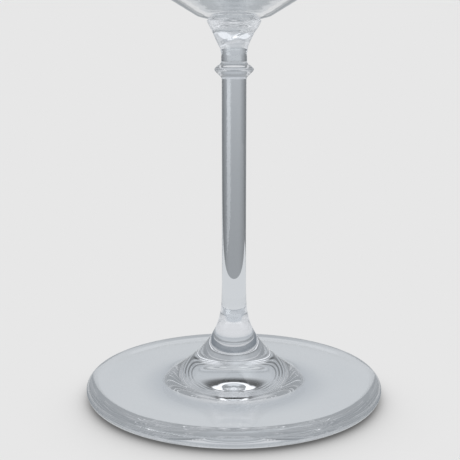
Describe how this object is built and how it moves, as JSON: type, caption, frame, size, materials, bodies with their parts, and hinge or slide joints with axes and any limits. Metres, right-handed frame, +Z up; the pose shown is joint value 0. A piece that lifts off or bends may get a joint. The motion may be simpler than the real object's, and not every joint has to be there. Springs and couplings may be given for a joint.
{
  "type": "jenever glass",
  "caption": "Stemmed clear glass for jenever: a tulip bowl with a flared lip, a solid stem with a collar, and a round foot that rises in a trumpet.",
  "frame": {"origin": "centre of the foot's flat underside, on the table", "axes": "+Z up along the axis of the stem; the glass is turned, so +X and +Y are free"},
  "size_m": [0.065, 0.065, 0.1509],
  "materials": {
    "bowl_glass": "fire-polished clear glass",
    "stem_glass": "drawn clear glass",
    "foot_glass": "pressed and fire-polished clear glass"
  },
  "bodies": {
    "root": {"bowl": "bowl_glass", "stem_head": "stem_glass", "collar": "stem_glass", "stem": "stem_glass", "foot": "foot_glass"}
  },
  "joints": []
}
